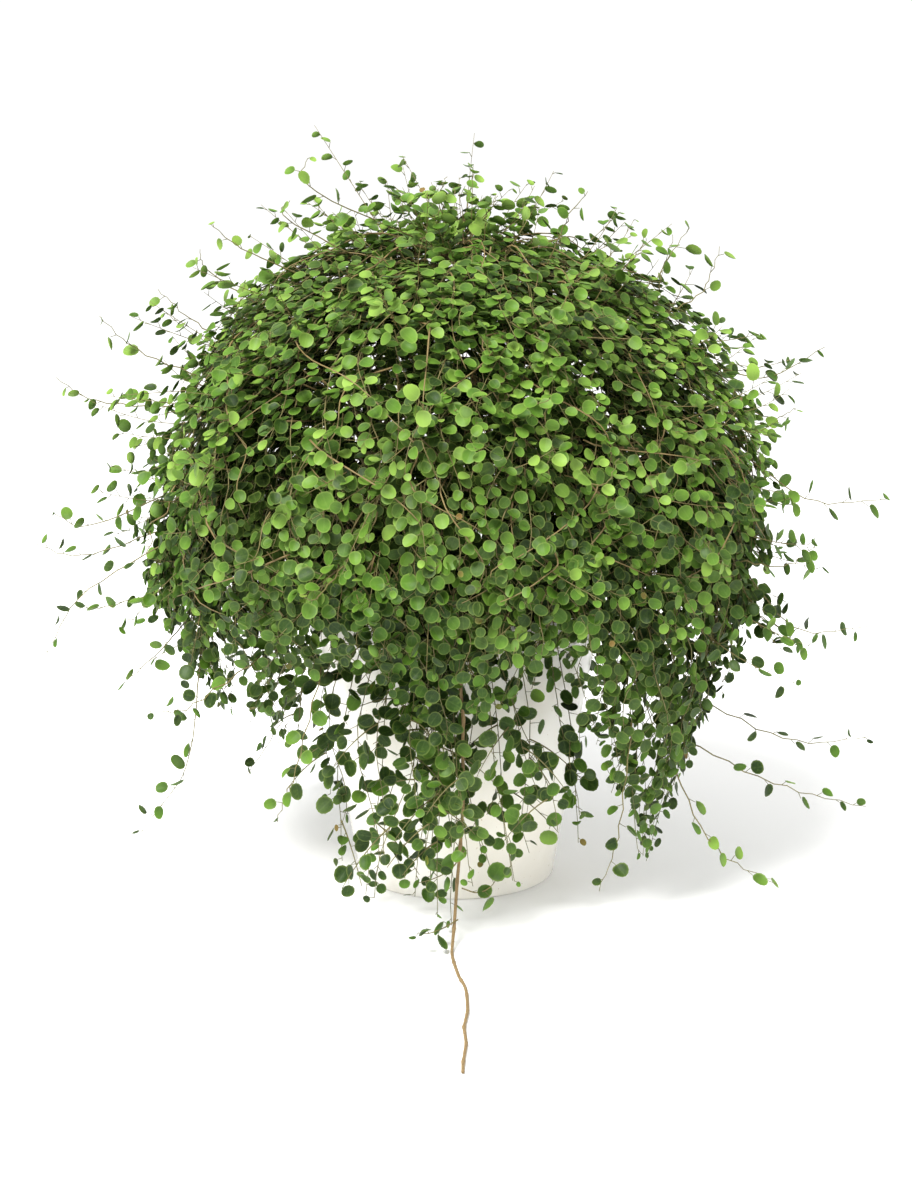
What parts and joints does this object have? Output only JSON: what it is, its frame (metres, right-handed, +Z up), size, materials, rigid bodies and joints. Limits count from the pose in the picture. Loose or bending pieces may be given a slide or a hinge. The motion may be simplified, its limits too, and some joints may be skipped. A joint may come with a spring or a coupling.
{
  "type": "potted vine",
  "caption": "Climbing foliage plant with wiry stems and small round leaves, mounded over and trailing round a plain tapered pot, with one bare runner lying in front.",
  "frame": {"origin": "centre of the flat underside of the pot, on the surface that the pot stands on", "axes": "+Z up along the pot's axis; -Y is the front, towards which the bare runner lies; +X is to the right seen from the front"},
  "size_m": [0.5878, 0.6155, 0.5064],
  "materials": {
    "pot": "satin",
    "soil": "matte",
    "foliage": "satin",
    "bark": "matte"
  },
  "bodies": {
    "root": {"pot": "pot", "soil": "soil", "crown_spray_1": "foliage", "crown_spray_2": "foliage", "crown_spray_3": "foliage", "crown_spray_4": "foliage", "crown_spray_5": "foliage", "drape_spray_1": "foliage", "drape_spray_2": "foliage", "drape_spray_3": "foliage", "drape_spray_4": "foliage", "drape_spray_5": "foliage", "drape_spray_6": "foliage", "drape_spray_7": "foliage", "drape_spray_8": "foliage", "drape_spray_9": "foliage", "drape_spray_10": "foliage", "trailing_stem_1": "foliage", "trailing_stem_2": "foliage", "trailing_stem_3": "foliage", "trailing_stem_4": "foliage", "trailing_stem_5": "foliage", "trailing_stem_6": "foliage", "trailing_stem_7": "foliage", "trailing_stem_8": "foliage", "trailing_stem_9": "foliage", "trailing_stem_10": "foliage", "trailing_stem_11": "foliage", "trailing_stem_12": "foliage", "trailing_stem_13": "foliage", "trailing_stem_14": "foliage", "woody_runner": "bark"}
  },
  "joints": []
}
